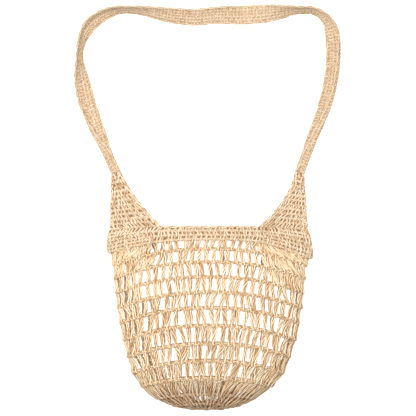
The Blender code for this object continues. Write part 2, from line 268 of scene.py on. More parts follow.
def fold_arc(turn):
    """The width of cloth that a fold of this turn takes up."""
    return max(OPEN_FOLD_ARC, BEND_RADIUS * math.radians(turn))


def strap_section(fold, turn, roll, places):
    """How far outward and how high each place across the strap lies. Places count from its inner edge."""
    fine = np.linspace(0, STRAP_WIDTH, 281)
    bent = np.clip((fine - (STRAP_WIDTH - fold)) / fold_arc(turn) + 0.5, 0, 1)
    slope = math.radians(roll) + math.radians(turn) * bent
    middle = (slope[1:] + slope[:-1]) / 2
    out = np.concatenate([[0], np.cumsum(np.cos(middle) * fine[1])])
    up = np.concatenate([[0], np.cumsum(np.sin(middle) * fine[1])])
    up += np.max(FABRIC / 2 * np.abs(np.cos(slope)) - up)
    out -= (out.max() + out.min()) / 2
    return np.stack([np.interp(places, fine, out), np.interp(places, fine, up)], axis=1)


STRAP_KNOTS = np.stack([column_of(STRAP_LAY, "x"), column_of(STRAP_LAY, "y")], axis=1)
STRAP_AT = arc_lengths(STRAP_KNOTS)
STRAP_LENGTH = STRAP_AT[-1]
STRAP_COLUMNS = {name: column_of(STRAP_LAY, name) for name in Lay._fields}


def strap_row(at):
    return Lay(*(float(smooth_curve(STRAP_AT, STRAP_COLUMNS[name], at)) for name in Lay._fields))


def heading(low, high):
    """The directions in plan along the strap and out of its loop, between these places along it."""
    start, end = strap_row(low), strap_row(high)
    ahead = np.array([end.x - start.x, end.y - start.y])
    ahead /= np.linalg.norm(ahead)
    return ahead, np.array([-ahead[1], ahead[0]])


def strap_wall(at, places):
    """Points across the strap, this far along it from the left flare."""
    ahead, outward = heading(max(0, at - HEADING_STEP), min(STRAP_LENGTH, at + HEADING_STEP))
    row = strap_row(at)
    section = strap_section(row.fold, row.turn, row.roll, np.clip(places, 0, STRAP_WIDTH))
    section[:, 0] += np.asarray(places) - np.clip(places, 0, STRAP_WIDTH)
    plan = np.array([row.x, row.y]) + section[:, :1] * outward
    beyond = (at - min(max(at, 0), STRAP_LENGTH)) * ahead
    return np.column_stack([plan + beyond, section[:, 1]])


FLARE_FINE = np.linspace(-1, 1, 97)  # across both layers, from the back's inner edge to the front's


def flare_grid(side):
    """A flare's foot on the mouth and its tip at the strap, across both layers from the back's inner edge."""
    corner = LEFT_CORNER_SHARE if side < 0 else RIGHT_CORNER_SHARE
    fold = 0 if side > 0 else 0.5
    foot = wall(MOUTH, fold + side * corner * FLARE_FINE)
    near_end = 0 if side < 0 else STRAP_LENGTH - 2 * HEADING_STEP
    ahead, outward = heading(near_end, near_end + 2 * HEADING_STEP)
    row = strap_row(0 if side < 0 else STRAP_LENGTH)
    section = strap_section(row.fold, row.turn, row.roll, STRAP_WIDTH / 2 * (1 + FLARE_FINE))
    beside = np.array([row.x, row.y]) + side * ahead * PIECE_GAP
    return foot, np.column_stack([beside + section[:, :1] * outward, section[:, 1]])


FLARE_GRIDS = {side: flare_grid(side) for side in (-1, 1)}


def flare_section(side, up):
    """A flare's surface across both layers, at this share of the way up from the mouth to the strap."""
    foot, tip = FLARE_GRIDS[side]
    here = foot + (tip - foot) * [up, up, 1 - (1 - min(up, 1)) ** FLARE_SETTLING]
    hollow = side * (LEFT_FLARE_HOLLOW if side < 0 else RIGHT_FLARE_HOLLOW)
    here[:, 0] += 4 * up * (1 - up) * hollow * np.abs(FLARE_FINE)
    return here


def flare_widths(side, up):
    """How wide the back layer and the front layer are there, from the fold."""
    lengths = arc_lengths(flare_section(side, up))
    middle = lengths[len(FLARE_FINE) // 2]
    return middle, lengths[-1] - middle


def flare_wall(side):
    """The flare as a function of the way up and of the distances from its fold, which are positive in front."""

    def points(up, places):
        section = flare_section(side, up)
        lengths = arc_lengths(section)
        lengths -= lengths[len(FLARE_FINE) // 2]
        found = np.stack([np.interp(places, lengths, section[:, k]) for k in range(3)], axis=1)
        beyond = np.asarray(places) - np.clip(places, lengths[0], lengths[-1])
        ahead = section[-1] - section[-3]
        return found + beyond[:, None] * ahead / np.linalg.norm(ahead)

    return points


# ---------------- yarn

rng = np.random.default_rng(77)
TUBE_SIDES = 6
END_SHARE = 0.6  # of a strand's radius, at its ends
FIBRE_SPIN = 0.5  # radians for each millimetre along a strand
FIBRE_LENGTH = 400  # of the yarn along which each strand starts at random
BROWN_SHARE = 0.25  # of the strands are of a browner straw
BROWN_STEP = 0.5  # in tone
SOFT_HEIGHT = 2.4  # yarn that would lie lower than this is pressed up


def unit(vectors):
    return vectors / np.maximum(np.linalg.norm(vectors, axis=-1, keepdims=True), 1e-9)


def framed(surface, row, places, row_step, place_step, out=1):
    """Points of a surface, and the directions across, along and out of it there."""
    across = unit(surface(row, places + place_step) - surface(row, places - place_step))
    along = unit(surface(row + row_step, places) - surface(row - row_step, places))
    outward = unit(np.cross(along, across)) * out
    return surface(row, places), across, along, outward


def settled(points):
    """Presses what would sink into the surface under the bag on to it."""
    height = points[..., 2]
    pressed_up = SOFT_HEIGHT * np.exp((np.minimum(height, SOFT_HEIGHT) - SOFT_HEIGHT) / SOFT_HEIGHT)
    points[..., 2] = np.where(height < SOFT_HEIGHT, pressed_up, height)
    return points


class Yarn:
    """Gathers strands, each a round tube with a spiral lie of fibres, for one mesh."""

    def __init__(self):
        self.points, self.faces, self.fibres, self.tones, self.count = [], [], [], [], 0

    def add(self, paths, radius, tone=None):
        """paths holds several strands of as many points each, and radius is one number or one for each point."""
        paths = np.asarray(paths, float)
        many, long = paths.shape[:2]
        ahead = unit(np.gradient(paths, axis=1))
        side = np.empty_like(paths)
        first = np.cross(ahead[:, 0], [0.0, 0.0, 1.0])
        upright = np.linalg.norm(first, axis=1) < 0.2
        first[upright] = np.cross(ahead[upright, 0], [1.0, 0.0, 0.0])
        side[:, 0] = unit(first)
        for k in range(1, long):
            left = side[:, k - 1] - ahead[:, k] * np.sum(side[:, k - 1] * ahead[:, k], axis=1, keepdims=True)
            side[:, k] = unit(left)
        over = np.cross(ahead, side)
        angle = 2 * math.pi * np.arange(TUBE_SIDES) / TUBE_SIDES
        ring = side[:, :, None] * np.cos(angle)[:, None] + over[:, :, None] * np.sin(angle)[:, None]
        radius = np.broadcast_to(np.asarray(radius, float), (many, long)).copy()
        radius[:, 0] *= END_SHARE
        radius[:, -1] *= END_SHARE
        points = paths[:, :, None] + ring * radius[:, :, None, None]
        length = np.concatenate(
            [np.zeros((many, 1)), np.cumsum(np.linalg.norm(np.diff(paths, axis=1), axis=2), axis=1)], axis=1
        )
        if tone is None:
            tone = rng.random(many) - BROWN_STEP * (rng.random(many) < BROWN_SHARE)
        turned = angle + (length * FIBRE_SPIN)[:, :, None]
        start = (rng.random(many) * FIBRE_LENGTH)[:, None, None]
        fibre = np.stack(
            [np.cos(turned), np.sin(turned), np.broadcast_to(length[:, :, None] + start, turned.shape)], axis=3
        )
        self.faces.append(self.tube_faces(many, long))
        self.points.append(points.reshape(-1, 3))
        self.fibres.append(fibre.reshape(-1, 3))
        self.tones.append(np.repeat(tone, long * TUBE_SIDES))
        self.count += many * long * TUBE_SIDES

    def tube_faces(self, many, long):
        """The walls and ends of tubes whose points come next."""
        base = self.count + TUBE_SIDES * long * np.arange(many)[:, None, None]
        ring = base + TUBE_SIDES * np.arange(long - 1)[None, :, None]
        i = np.arange(TUBE_SIDES)[None, None, :]
        j = (i + 1) % TUBE_SIDES
        walls = np.stack([ring + i, ring + j, ring + TUBE_SIDES + j, ring + TUBE_SIDES + i], -1)
        first = base[:, 0, 0]
        last = first + TUBE_SIDES * (long - 1)
        ends = [np.stack([first + c for c in order], 1) for order in ((3, 2, 1, 0), (5, 4, 3, 0))]
        ends += [np.stack([last + c for c in order], 1) for order in ((0, 1, 2, 3), (0, 3, 4, 5))]
        return np.concatenate([walls.reshape(-1, 4), *ends])

    def piece(self, name, material, slot):
        """The strands as one object."""
        points = (settled(np.concatenate(self.points)) + ORIGIN_SHIFT) * MM
        faces = np.concatenate(self.faces)
        mesh = bpy.data.meshes.new(name)
        mesh.vertices.add(len(points))
        mesh.vertices.foreach_set("co", points.astype(np.float32).ravel())
        mesh.loops.add(faces.size)
        mesh.loops.foreach_set("vertex_index", faces.astype(np.int32).ravel())
        mesh.polygons.add(len(faces))
        mesh.polygons.foreach_set("loop_start", np.arange(0, faces.size, 4, dtype=np.int32))
        mesh.update(calc_edges=True)
        mesh.shade_smooth()
        fibre = mesh.attributes.new("fibre", "FLOAT_VECTOR", "POINT")
        fibre.data.foreach_set("vector", np.concatenate(self.fibres).astype(np.float32).ravel())
        tone = mesh.attributes.new("tone", "FLOAT", "POINT")
        tone.data.foreach_set("value", np.concatenate(self.tones).astype(np.float32))
        mesh.materials.append(material)
        return placed(mesh)


def placed(mesh):
    obj = bpy.data.objects.new(mesh.name, mesh)
    bpy.context.scene.collection.objects.link(obj)
    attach(obj, "root")
    return obj


# A strand of a stitch, station by station from its foot: height is 0 on the lower row line and 1 on the upper,
# rise is a distance along the surface from there, out is the distance from the middle of the fabric, and blend
# is how far it has joined the post's twist.
Station = namedtuple("Station", "height rise out blend")

# A kind of stitch: its strands and their radius, half the width and thickness of its post, how far its foot reaches
# past the row line and how deep it goes behind, the twist and the share of posts that twist the other way, where the
# twist starts, how far the strands of the foot cross, the points up the post, how far it bows, and how uneven its
# width is.
Shape = namedtuple("Shape", "strands radius width thick reach depth twist contrary phase cross points bow uneven")
NET_POST = Shape(4, 1.04, 2.4, 1.1, 2.7, 2.3, 3.9, 0.3, 0.7, 1.2, 6, 0.35, 0.12)
BASE_POST = Shape(3, 1.3, 1.4, 1.4, 2.0, 2.2, 5.0, 0.4, 1.1, 1.4, 6, 0.3, 0.2)
TIGHT_POST = Shape(2, 1.08, 1.5, 0.75, 1.7, 1.1, 2.6, 0.4, 0.5, 0.9, 4, 0.2, 0.36)
STRAP_POST = Shape(2, 1.06, 1.3, 0.45, 1.3, 0.6, 2.2, 0.4, 0.5, 0.8, 3, 0.1, 0.2)
POST_START = 0.16  # of the height between two row lines, where the foot ends
POST_WAIST = 0.45  # of that height, where the post is narrowest
POST_WAIST_WIDTH = 0.86  # of its width
LEAST_TWIST = 0.8  # of a shape's twist
TWIST_RANGE = 0.5
PHASE_JITTER = 0.35
WIDTH_LIMIT = 0.4  # how far from even a post's width may be, as a share of it
RADIUS_JITTER = 0.06
HEAD_BLEND = 0.55  # of a strand's end at the upper row line


def foot(reach, depth, front):
    """Stations where a stitch goes round the row line below it."""
    return [
        Station(0, 0.2 * reach, -front * depth, 0),
        Station(0, -0.75 * reach, -front * 0.7 * depth, 0),
        Station(0, -reach, 0.1 * front * depth, 0),
        Station(0, -0.6 * reach, front * 0.85 * depth, 0.1),
        Station(0, 0.25 * reach, front * depth, 0.4),
    ]


def stitches(yarn, surface, lower, upper, feet, heads, shape, steps, out=1, scale=1.0):
    """The stitches between two row lines, from these places on the lower one to those on the upper."""
    count = len(feet)
    starts = [foot(shape.reach, shape.depth, 1), foot(shape.reach, shape.depth, -1)]
    starts += [[Station(0, -0.3 * shape.reach, 0, 0.5)]] * (shape.strands - 2)
    turn = shape.twist * (LEAST_TWIST + TWIST_RANGE * rng.random(count))
    turn *= np.where(rng.random(count) < shape.contrary, -1, 1)
    phase = shape.phase + rng.normal(0, PHASE_JITTER, count)
    width = scale * shape.width * (1 + rng.normal(0, shape.uneven, count).clip(-WIDTH_LIMIT, WIDTH_LIMIT))
    bow = rng.normal(0, shape.bow, count)
    cache = {}

    def place_at(height):
        if height not in cache:
            here = feet + (heads - feet) * height
            cache[height] = framed(surface, lower + (upper - lower) * height, here, *steps, out)
        return cache[height]

    climb = [POST_START + (1 - POST_START) * (k + 1) / shape.points for k in range(shape.points - 1)]
    for k, start in enumerate(starts):
        head = Station(1, (0.35 - 0.5 * (k % 3)) * shape.reach, 0, HEAD_BLEND)
        line = [*start, *(Station(height, 0, 0, 1) for height in climb), head]
        path = np.empty((count, len(line), 3))
        for n, station in enumerate(line):
            point, across, along, outward = place_at(station.height)
            angle = phase + turn * station.height + 2 * math.pi * k / shape.strands
            spread = width * (POST_WAIST_WIDTH + 0.3 * (station.height - POST_WAIST) ** 2 * 4)
            aside = spread * np.cos(angle) * station.blend + bow * math.sin(math.pi * station.height)
            if station.blend < 0.5:  # In the foot the two strands cross.
                aside = aside + shape.cross * (0.5 - station.blend) * (1 if k % 2 else -1) * (-1 if n < 2 else 1)
            proud = shape.thick * np.sin(angle) * station.blend + station.out * (1 - 0.6 * station.blend)
            path[:, n] = point + aside[:, None] * across + station.rise * along + proud[:, None] * outward
        radius = shape.radius * (1 + rng.normal(0, RADIUS_JITTER, (count, 1))) * np.ones((1, len(line)))
        yarn.add(path, radius)


LINE_WAVES = (23.0, 9.1, 5.3)  # over which a row line's plait is looser and closer
WANDER = 0.25  # of its strands, up and down
WANDER_WAVE = 17.0
SWELL = 0.06  # of their radius
SWELL_WAVE = 3.1
BEAD_WAVE = 0.84


def row_line(yarn, surface, row, places, steps, wave, rise, thick, radius, strands=3, out=1, bead=0.03, tones=None):
    """A plait of yarn along a row. places run along it, closely spaced, wave is the length of one crossing of each
    strand, rise and thick are how far it swings along and out of the surface, and bead is how knobbly it is."""
    point, _, along, outward = framed(surface, row, places, *steps, out)
    length = arc_lengths(point)
    slow = sum(np.sin(length / w + rng.random() * 6.3) for w in LINE_WAVES) / len(LINE_WAVES)
    turns = length / wave * 2 * math.pi + 0.9 * slow
    paths = []
    for k in range(strands):
        angle = turns + 2 * math.pi * k / strands
        up = rise * np.sin(angle) + WANDER * np.sin(length / WANDER_WAVE + 2 * k)
        proud = thick * np.sin(2 * angle + (math.pi / 2 if strands == 2 else 0))
        paths.append(point + up[:, None] * along + proud[:, None] * outward)
    swell = 1 + SWELL * np.sin(length / SWELL_WAVE + 5 * rng.random()) + bead * np.sin(length / BEAD_WAVE)
    yarn.add(np.stack(paths), radius * swell, tones)


def cord(yarn, line, inward, outward, wave, size, radius):
    """Two strands twisted together along an edge."""
    length = arc_lengths(line)
    paths = []
    for start in (0, math.pi):
        angle = length / wave * 2 * math.pi + start
        paths.append(line + size * (np.cos(angle)[:, None] * inward + 0.8 * np.sin(angle)[:, None] * outward))
    yarn.add(np.stack(paths), radius)


# ---------------- the net

NET_ROWS = 10
POSTS_IN_A_ROUND = 58
WALL_STEPS = (0.04, 0.002)
NET_LINE = (12.0, 1.75, 1.35)  # wave, rise and thickness of the net's row lines
LINE_TONES = np.array([-0.3, 0.3, 0.6])  # of the three strands
POST_SCALES = ((1, 2, 4, 5), (0.96, 1.08, 1.08, 1.0))  # rows, and how wide the posts are there
SWAY = 0.13  # of the posts, in pitches, in slow waves along a row
LEAN_JITTER = 0.09
PLACE_JITTER = 0.13
BACK_JITTER = 0.08
CLOSE_ROW = 8  # from this row up, posts crowd together under the flares
CLOSE_SINK = [0, 0, 1.7]  # how much further down the closest posts stand
RIGHT_CROWD = (0.165, 0.05)  # shares of the way round where the crowd starts, and where it is full
LEFT_CROWD = (0.36, 0.44)
LEFT_CROWDING = 0.35  # of the right side's
FEET_LEAN = 1.7  # in pitches, towards the side
HEADS_LEAN = 0.7  # away from it
RIGHT_CLOSE = 0.125  # share of the way round up to which posts have another close behind them, in the top row
RIGHT_CLOSE_STEP = 0.02  # less in each row below
LEFT_CLOSE = 0.395
CLOSING_REACH = 0.055  # of the lines that close the gap to the band, either way along from its side corners
# Where the back's posts start to stand between the front's, and where they are halfway: left and right, by row.
SIDE_ZONES = (
    ((-30, 20), (-30, 20)), ((52, 72), (74, 94)), ((58, 78), (94, 112)), ((64, 86), (108, 124)),
    ((68, 90), (116, 132)), ((70, 92), (120, 136)), ((96, 112), (120, 136)), ((98, 116), (112, 128)),
    ((88, 104), (100, 116)), ((66, 84), (76, 92)),
)

BASE_LINES = (0.06, 0.32, 0.64, 1.0)
BASE_POSTS = (14, 28, 46)  # in the rounds between those lines
BASE_MIDDLE = 2  # how far to the right
BASE_ZONE = (10, 26)  # how far from there the back's posts start to stand between the front's, and are halfway
BASE_STEPS = (0.02, 0.004)
BASE_LINE = (9.0, 2.2, 2.3, 1.2)  # wave, rise, thickness and radius


def apart_at(row, x):
    """The share of a pitch between the back's posts and the front's, by how far to the side they stand."""
    left, right = SIDE_ZONES[row - 1]
    return 0.5 * np.where(x < 0, smoothstep(*left, -x), smoothstep(*right, x))


def post_places(row, posts):
    """Feet and heads of a row's posts, as shares of the way round: the front's, then the back's behind them."""
    half = posts // 2
    offset = 0.5 + 0.35 * math.sin(2.3 * row)
    column = np.arange(half) + offset
    slow = np.sin(0.33 * column + 1.9 * row) + 0.6 * np.sin(0.81 * column + 4.1 * row)
    lean = SWAY * slow + rng.normal(0, LEAN_JITTER, half)
    middle = column + rng.normal(0, PLACE_JITTER, half)
    feet = (middle - lean) / posts
    heads = (middle + lean) / posts
    apart = apart_at(row, wall(row + 0.5, feet)[:, 0])
    back_feet = 1 - (feet + (apart + rng.normal(0, BACK_JITTER, half)) / posts)
    back_heads = 1 - (heads + (apart + rng.normal(0, BACK_JITTER, half)) / posts)
    if row >= CLOSE_ROW:  # Under the flares, mostly the right one, the front's posts lean over to the side.
        near = smoothstep(*RIGHT_CROWD, feet) * (row - 6.6) / 3.4
        near = near - LEFT_CROWDING * smoothstep(*LEFT_CROWD, feet) * (row - CLOSE_ROW) / 2
        feet = feet - FEET_LEAN * near / posts
        heads = heads + HEADS_LEAN * near / posts
    return feet, heads, back_feet, back_heads


def crowded(row, feet):
    """Which of the front's posts have another one close behind them."""
    right = feet < RIGHT_CLOSE - RIGHT_CLOSE_STEP * (NET_ROWS - row)
    left = (feet > LEFT_CLOSE) & (row > CLOSE_ROW)
    return right | left


def sunk_wall(at, shares):
    return net_wall(at, shares) - CLOSE_SINK


def net():
    """The openwork wall: its front posts, its back posts, and its row lines."""
    front_posts, back_posts, lines = Yarn(), Yarn(), Yarn()
    for row in range(1, NET_ROWS + 1):
        feet, heads, back_feet, back_heads = post_places(row, POSTS_IN_A_ROUND)
        lower = row + 0.02
        upper = row + 0.98 if row < NET_ROWS else NET_TOP + 0.07
        scale = float(np.interp(row, *POST_SCALES))
        stitches(front_posts, net_wall, lower, upper, feet, heads, NET_POST, WALL_STEPS, scale=scale)
        if row >= CLOSE_ROW:
            close = crowded(row, feet)
            between = (0.5 + rng.normal(0, 0.06, close.sum())) / POSTS_IN_A_ROUND
            close_feet, close_heads = feet[close] + between, heads[close] + between
            stitches(front_posts, sunk_wall, lower, upper, close_feet, close_heads, NET_POST, WALL_STEPS)
        stitches(back_posts, net_wall, lower, upper, back_feet, back_heads, NET_POST, WALL_STEPS, scale=scale)
        places = np.linspace(0, 1.004, round(girth_at(row) / 1.5))
        row_line(lines, wall, row, places, WALL_STEPS, *NET_LINE, 0.98, bead=0.13, tones=LINE_TONES)
    for side in (0, 0.5):
        beside = side + np.linspace(-CLOSING_REACH, CLOSING_REACH, 30)
        row_line(lines, net_wall, NET_TOP + 0.03, beside, WALL_STEPS, *NET_LINE, 1.1, tones=LINE_TONES)
    return front_posts, back_posts, lines


def net_foot():
    """The close rounds of the base, from its pole to the net."""
    base = Yarn()
    for lower, upper, count in zip(BASE_LINES, BASE_LINES[1:], BASE_POSTS):
        half = count // 2
        front = (np.arange(half) + 0.4 + rng.normal(0, 0.09, half)) / count
        apart = 0.5 * smoothstep(*BASE_ZONE, abs(wall(upper, front)[:, 0] - BASE_MIDDLE))
        feet = np.append(front, 1 - (front + apart / count))
        heads = feet + rng.normal(0, 0.06, count) / count
        scale = 0.9 if lower == BASE_LINES[0] else 1.0
        stitches(base, wall, lower, upper, feet, heads, BASE_POST, BASE_STEPS, scale=scale)
    for at in BASE_LINES[1:-1]:
        places = np.linspace(0, 1.01, round(girth_at(at) / 1.3))
        row_line(base, wall, at, places, BASE_STEPS, *BASE_LINE, bead=0.2)
    cap = np.linspace(0, 1.05, 16)
    row_line(base, wall, BASE_LINES[0], cap, (0.02, 0.01), 8.0, 0.8, 0.8, 1.0)
    return base


# ---------------- the band, the flares and the strap

BAND_ROWS = (11.09, 11.39, 11.69, 11.95)
BAND_PITCH = 5.4
HIGH_ROW = 8.6  # a row of the band that is higher than this is worked as two
SLANT = 0.6  # of the close stitches, one way and the other in turn
TIGHT_LINE = (7.6, 1.1, 0.65, 1.0)  # wave, rise, thickness and radius of the close rows' lines
FLARE_ROWS = 12
FLARE_STEPS = (0.02, 0.8)
FLARE_MARGIN = 3  # left for the cord along the flare's inner edge
FLARE_JITTER = 0.55
LINE_SPACING = 1.2  # of the points along the close rows' lines
EDGE_INSET = 1.9
MOUTH_CORD = (24.0, 1.05, 1.15)  # wave, size and radius
STRAP_STEPS = (0.5, 2.0)
STRAP_PITCH = 4.8
STRAP_EDGE = 1.8
STRAP_ROWS = 5
STRAP_LINE = (9.4, 0.9, 0.45, 1.0)
STRAP_CORD = (30.0, 0.85, 1.12)


def height_between(lower, upper, shares):
    return np.linalg.norm(wall(upper, shares) - wall(lower, shares), axis=1)


def band(yarn):
    """Rows of short stitches. Where the sides make a row too high, it is worked as two."""
    girth = girth_at(11.5, 401)
    count = round(girth / BAND_PITCH)
    places = np.linspace(0, 1.003, round(girth / LINE_SPACING))
    for n, (lower, upper) in enumerate(zip(BAND_ROWS, BAND_ROWS[1:])):
        slant = (SLANT if n % 2 else -SLANT) / BAND_PITCH / count
        feet = (np.arange(count) + 0.5 * (n % 2) + rng.normal(0, 0.15, count)) / count
        heads = feet + 2 * slant + rng.normal(0, 0.17, count) / count
        two = height_between(lower, upper, feet) > HIGH_ROW
        middle = (lower + upper) / 2
        stitches(yarn, wall, lower, upper, feet[~two], heads[~two], TIGHT_POST, WALL_STEPS)
        stitches(yarn, wall, lower, middle, feet[two], feet[two] + slant, TIGHT_POST, WALL_STEPS)
        stitches(yarn, wall, middle, upper, feet[two] + 2 * slant, heads[two] - slant, TIGHT_POST, WALL_STEPS)
        for side in (0, 0.5):
            beside = side + np.linspace(-0.24, 0.24, round(girth * 0.48 / LINE_SPACING))
            beside = beside[height_between(lower, upper, beside) > HIGH_ROW]
            if len(beside) > 4:
                row_line(yarn, wall, middle, beside, WALL_STEPS, *TIGHT_LINE, strands=2)
        row_line(yarn, wall, lower, places, WALL_STEPS, *TIGHT_LINE, strands=2)


def flare(yarn, side):
    """Rows of short stitches up a flare, across its front layer and its back layer."""
    surface = flare_wall(side)
    lines = [n / FLARE_ROWS for n in range(FLARE_ROWS + 1)]
    for n, (lower, upper) in enumerate(zip(lines, lines[1:])):
        low_back, low_front = flare_widths(side, lower)
        high_back, high_front = flare_widths(side, upper)
        slant = SLANT if n % 2 else -SLANT
        for low, high, sign in ((low_front, high_front, 1), (low_back, high_back, -1)):
            count = max(2, round((low - FLARE_MARGIN) / BAND_PITCH))
            share = (np.arange(count) + 0.5 + rng.normal(0, 0.13, count)) / count
            feet = share * (low - FLARE_MARGIN) - slant + rng.normal(0, FLARE_JITTER, count)
            heads = share * (high - FLARE_MARGIN) + slant + rng.normal(0, FLARE_JITTER, count)
            heads = np.clip(heads, 0.5, high - 2.2)
            stitches(yarn, surface, lower, upper, sign * feet, sign * heads, TIGHT_POST, FLARE_STEPS, side)
        places = np.arange(-low_back + 1.6, low_front - 1.5, LINE_SPACING)
        row_line(yarn, surface, lower, places, FLARE_STEPS, *TIGHT_LINE, strands=2, out=side)


def flare_edge(side, front):
    """A line along a flare's inner edge from the mouth to the strap, a little way in, and its directions."""
    surface = flare_wall(side)
    found = []
    for up in np.linspace(0, 1, 60):
        back_width, front_width = flare_widths(side, up)
        place = front_width - EDGE_INSET if front else -(back_width - EDGE_INSET)
        point, across, _, out = framed(surface, up, np.array([place]), *FLARE_STEPS, side)
        found.append((point[0], across[0] if front else -across[0], out[0]))
    return [np.array(values) for values in zip(*found)]


def edges(yarn):
    """The cords along the mouth and the flares' inner edges, in front and behind."""
    for front in (True, False):
        right = [values[::-1] for values in flare_edge(1, front)]
        left = flare_edge(-1, front)
        shares = np.linspace(RIGHT_CORNER_SHARE, 0.5 - LEFT_CORNER_SHARE, 130)
        shares = shares if front else 1 - shares
        point, _, along, out = framed(wall, MOUTH - 0.05, shares, *WALL_STEPS)
        parts = zip(right, (point, along, out), left)
        cord(yarn, *(np.concatenate([r[:-2], m[2:-2], l[2:]]) for r, m, l in parts), *MOUTH_CORD)


STRAP_ATS = np.arange(-3.0, STRAP_LENGTH + 3.0, 1.0)
STRAP_PLACES = np.linspace(-1.0, STRAP_WIDTH + 1.0, 61)
STRAP_POINTS = np.stack([strap_wall(at, STRAP_PLACES) for at in STRAP_ATS])


def strap_along(place, ats):
    """The strap's surface, this far from its inner edge, at these distances along it."""
    i = np.clip(np.searchsorted(STRAP_ATS, ats) - 1, 0, len(STRAP_ATS) - 2)
    j = int(np.clip(np.searchsorted(STRAP_PLACES, place) - 1, 0, len(STRAP_PLACES) - 2))
    u = ((ats - STRAP_ATS[i]) / (STRAP_ATS[i + 1] - STRAP_ATS[i]))[:, None]
    v = (place - STRAP_PLACES[j]) / (STRAP_PLACES[j + 1] - STRAP_PLACES[j])
    near = STRAP_POINTS[i, j] * (1 - v) + STRAP_POINTS[i, j + 1] * v
    far = STRAP_POINTS[i + 1, j] * (1 - v) + STRAP_POINTS[i + 1, j + 1] * v
    return near * (1 - u) + far * u


def strap_part(yarn, start, end):
    """A length of the strap, worked in rows that run along it."""
    lines = np.linspace(STRAP_EDGE + 0.5, STRAP_WIDTH - STRAP_EDGE - 0.5, STRAP_ROWS + 1)
    count = round((end - start) / STRAP_PITCH)
    for n, (lower, upper) in enumerate(zip(lines, lines[1:])):
        feet = start + (np.arange(count) + 0.5 + rng.normal(0, 0.12, count)) / count * (end - start)
        slant = (SLANT if n % 2 else -SLANT) + rng.normal(0, 0.35, count)
        stitches(yarn, strap_along, lower, upper, feet - slant, feet + slant, STRAP_POST, STRAP_STEPS, -1)
    ats = np.arange(start, end + LINE_SPACING, LINE_SPACING)
    for place in lines[1:-1]:
        row_line(yarn, strap_along, place, ats, STRAP_STEPS, *STRAP_LINE, strands=2, out=-1)


def strap_edges(yarn):
    """The cords along the strap's two edges."""
    for place in (STRAP_EDGE, STRAP_WIDTH - STRAP_EDGE):
        found = []
        for at in np.arange(-0.6, STRAP_LENGTH + 0.6, 1.8):
            point, across, _, out = framed(strap_wall, at, np.array([place]), *STRAP_STEPS[::-1])
            found.append((point[0], across[0], out[0]))
        cord(yarn, *(np.array(values) for values in zip(*found)), *STRAP_CORD)


GROUND_THICKNESS = 0.6


def ground(name, grids, material):
    """A thin close ground that the stitches lie on, from grids of points that share no vertices."""
    points, faces = [], []
    for grid in grids:
        first = len(points)
        rows, columns = grid.shape[:2]
        points += list((settled(grid.reshape(-1, 3).copy()) + ORIGIN_SHIFT) * MM)
        for r in range(rows - 1):
            for c in range(columns - 1):
                k = first + r * columns + c
                faces.append((k, k + 1, k + columns + 1, k + columns))
    mesh = bpy.data.meshes.new(name)
    mesh.from_pydata(points, [], faces)
    mesh.update()
    mesh.shade_smooth()
    mesh.materials.append(material)
    obj = placed(mesh)
    modifier = obj.modifiers.new("thickness", "SOLIDIFY")
    modifier.thickness = GROUND_THICKNESS * MM
    modifier.offset = 0
    return obj


# ---------------- materials

LOW_SHADE = (-0.25, -0.285)  # along Y, in metres: where the net turns down to the base, and the base
BASE_CREVICE_SHADE = (0.33, 0.28, 0.24)  # painted shade: what the crevices' colour is further multiplied by there
FIBRE_GRAIN = (2.6, 2.6, 0.22)  # round a strand and along it
PATCH_GRAIN = (0.2, 0.2, 0.05)
TONE_SHARE = 0.5  # of the strand's own tone in the shade
STREAK_SHARE = 0.8  # of its fibres'
SHADE_SCALE = 0.62
SHADE_STOPS = (0.42, 0.64, 0.92)  # where the shade is deep, middle and pale
OPEN_SHARE = (0.3, 0.92)  # of the air round a point, in a full crevice and out of it


def connect(tree, node, inputs):
    """Sets a node's inputs, by name with _ for a space, to numbers, colours or other nodes' outputs."""
    for name, value in inputs.items():
        fill(tree, node.inputs[name.replace("_", " ")], value)


def fill(tree, socket, value):
    if isinstance(value, bpy.types.NodeSocket):
        tree.links.new(value, socket)
    else:
        socket.default_value = value


def added(tree, kind, **inputs):
    """A new node, with its inputs as connect() takes them."""
    node = tree.nodes.new("ShaderNode" + kind)
    connect(tree, node, inputs)
    return node


def attribute(tree, name):
    node = added(tree, "Attribute")
    node.attribute_name = name
    return node


def calculated(tree, operation, *values):
    """The result of a sum: MULTIPLY, or MULTIPLY_ADD, which adds the last value."""
    node = added(tree, "Math")
    node.operation = operation
    for socket, value in zip(node.inputs, values):
        fill(tree, socket, value)
    return node.outputs["Value"]


def ramp_colour(tree, share, stops):
    """The colour at this share of a ramp, from its stops, each a place and a colour."""
    node = added(tree, "ValToRGB", Fac=share)
    elements = node.color_ramp.elements
    for element, (place, colour) in zip(elements, (stops[0], stops[-1])):
        element.position = place
        element.color = (*colour, 1)
    for place, colour in stops[1:-1]:
        elements.new(place).color = (*colour, 1)
    return node.outputs["Color"]


def multiplied(tree, share, colour, by):
    """The colour, multiplied by another as far as share says."""
    mix = added(tree, "Mix")
    mix.data_type = "RGBA"
    mix.blend_type = "MULTIPLY"
    first, second = [socket for socket in mix.inputs if socket.type == "RGBA"]
    tree.links.new(share, mix.inputs["Factor"])
    tree.links.new(colour, first)
    second.default_value = (*by, 1)
    return next(socket for socket in mix.outputs if socket.type == "RGBA")


def new_material(name, **inputs):
    """A material, its node tree and its shader, with the shader's inputs as connect() takes them."""
    material = bpy.data.materials.new(name)
    material.use_nodes = True
    shader = material.node_tree.nodes["Principled BSDF"]
    connect(material.node_tree, shader, inputs)
    return material, material.node_tree, shader


